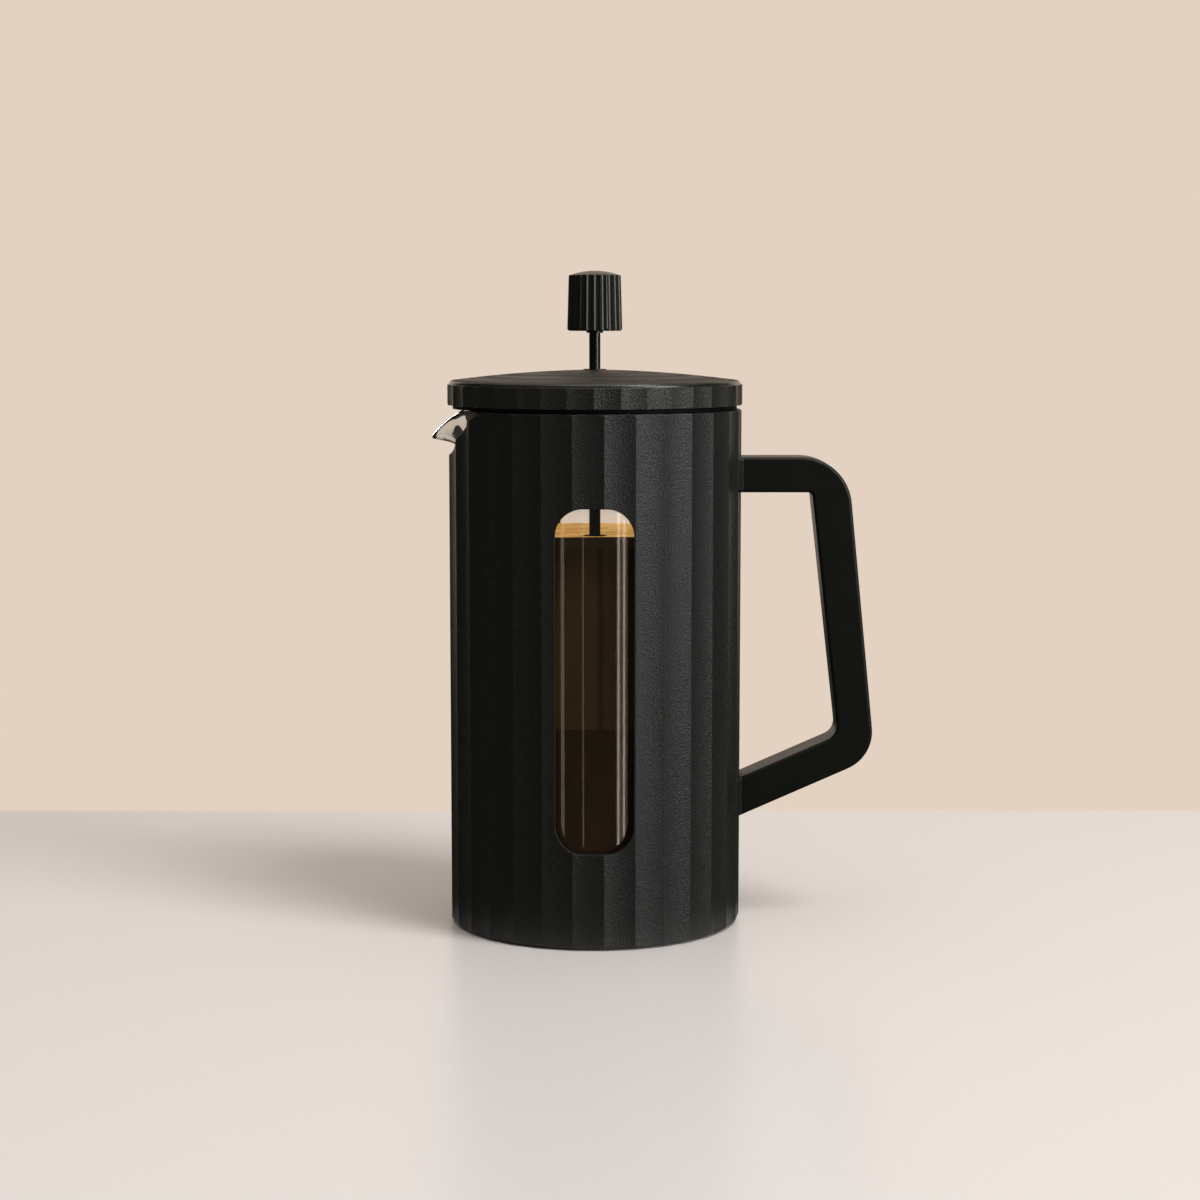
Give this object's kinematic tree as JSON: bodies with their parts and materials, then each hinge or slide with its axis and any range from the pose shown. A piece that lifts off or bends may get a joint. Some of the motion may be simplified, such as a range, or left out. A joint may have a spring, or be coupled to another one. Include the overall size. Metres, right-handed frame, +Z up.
{
  "type": "french press",
  "caption": "French press coffee maker: glass beaker with a spout in a fluted black sleeve with tall windows, D handle, domed lid and a plunger with a fluted knob.",
  "frame": {"origin": "on the beaker's axis, in the foot pad's underside, at table level", "axes": "+Z up along the beaker's axis, +X towards the handle, -X towards the spout, the windows face -Y and +Y"},
  "size_m": [0.157, 0.1046, 0.2322],
  "materials": {
    "sleeve_plastic": "finely spark-textured black, matte",
    "handle_plastic": "smooth satin black",
    "lid_plastic": "fine-grained black, satin",
    "knob_plastic": "satin black",
    "bush_plastic": "plain black bearing plastic",
    "silicone": "matte black silicone",
    "coated_steel": "semi-gloss black coating",
    "steel": "brushed stainless",
    "spring_steel": "drawn stainless wire",
    "steel_mesh": "fine woven stainless mesh",
    "glass": "clear heat-proof glass"
  },
  "bodies": {
    "frame": {"sleeve": "sleeve_plastic", "base_cover": "sleeve_plastic", "base_screws": "steel", "foot_pad": "silicone", "beaker_cushion": "silicone", "grip_ring": "silicone", "handle": "handle_plastic", "handle_screws": "steel"},
    "beaker": {"glass_beaker": "glass"},
    "lid_seal": {"lid_seal": "silicone"},
    "lid": {"lid_cover": "lid_plastic", "lid_strainer": "lid_plastic", "rod_bush": "bush_plastic"},
    "plunger": {"plunger_rod": "coated_steel", "knob": "knob_plastic", "knob_insert": "coated_steel", "rod_collar": "steel", "filter_top_plate": "steel", "filter_spring": "spring_steel", "filter_mesh": "steel_mesh", "filter_cross_plate": "steel"}
  },
  "joints": [
    {"name": "beaker_lift", "type": "slide", "parent": "frame", "child": "beaker", "axis": [0, 0, 1], "range_m": [0, 0.18]},
    {"name": "lid_lift", "type": "slide", "parent": "beaker", "child": "lid_seal", "axis": [0, 0, 1], "range_m": [0, 0.18]},
    {"name": "lid_turn", "type": "hinge", "parent": "lid_seal", "child": "lid", "pos_m": [0, 0, 0.185], "axis": [0, 0, 1], "continuous": true},
    {"name": "plunger_slide", "type": "slide", "parent": "lid", "child": "plunger", "axis": [0, 0, 1], "range_m": [-0.0124, 0.1265]}
  ]
}
